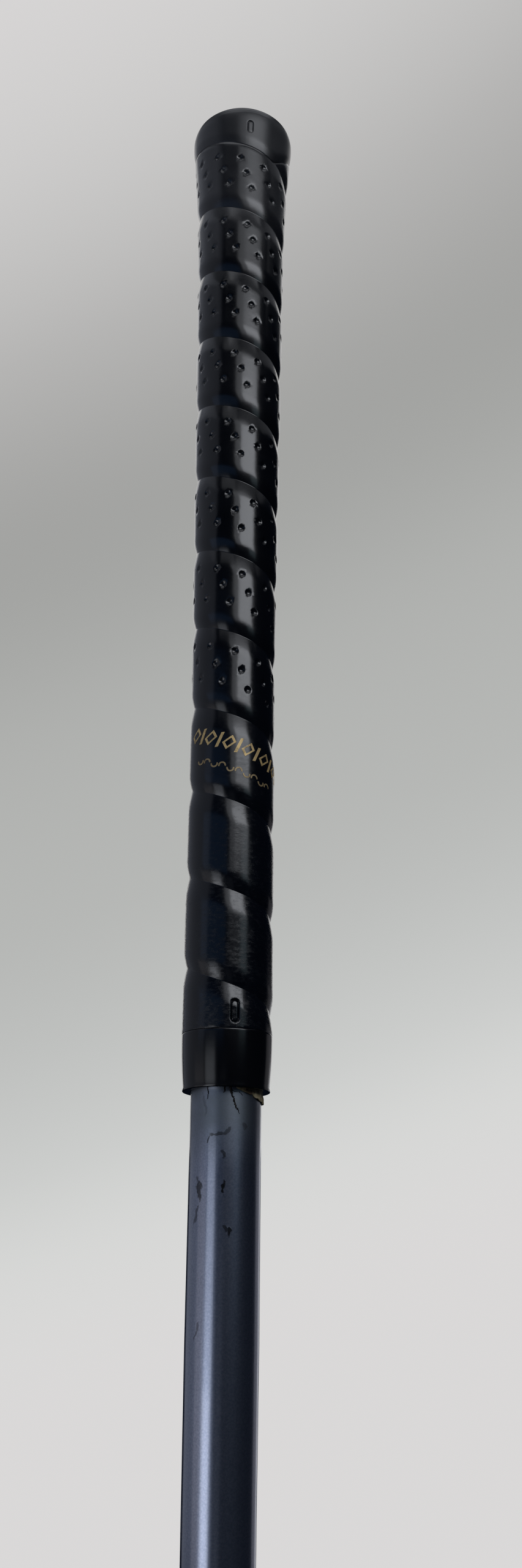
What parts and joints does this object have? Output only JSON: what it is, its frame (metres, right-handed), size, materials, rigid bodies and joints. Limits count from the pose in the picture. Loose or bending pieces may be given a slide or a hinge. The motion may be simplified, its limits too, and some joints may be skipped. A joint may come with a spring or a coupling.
{
  "type": "golf grip",
  "caption": "Black rubber golf grip moulded like a spiral wrap, with dimples, a gold motif and a butt cap, bonded on the butt of a dark graphite shaft cut below the grip.",
  "frame": {"origin": "centre of the shaft's cut lower end, in the plane of the cut", "axes": "+Z along the shaft from the cut end up to the butt cap; the front, with the index slots and the gold motif, faces -Y; +X is to the right of someone who looks at the front"},
  "size_m": [0.0274, 0.0274, 0.3717],
  "materials": {
    "grip_rubber": "semi-gloss moulded, slightly worn",
    "cap_rubber": "satin, harder compound",
    "gold_paint": "satin paint in a shallow recess",
    "tape_paper": "yellowed adhesive paper",
    "graphite_paint": "dark blue-grey metallic under clear coat"
  },
  "bodies": {
    "root": {"end_cap": "cap_rubber", "grip_sleeve": "grip_rubber", "mouth_collar": "grip_rubber", "gold_lozenges": "gold_paint", "gold_wave": "gold_paint", "grip_tape": "tape_paper", "shaft_tube": "graphite_paint"}
  },
  "joints": []
}
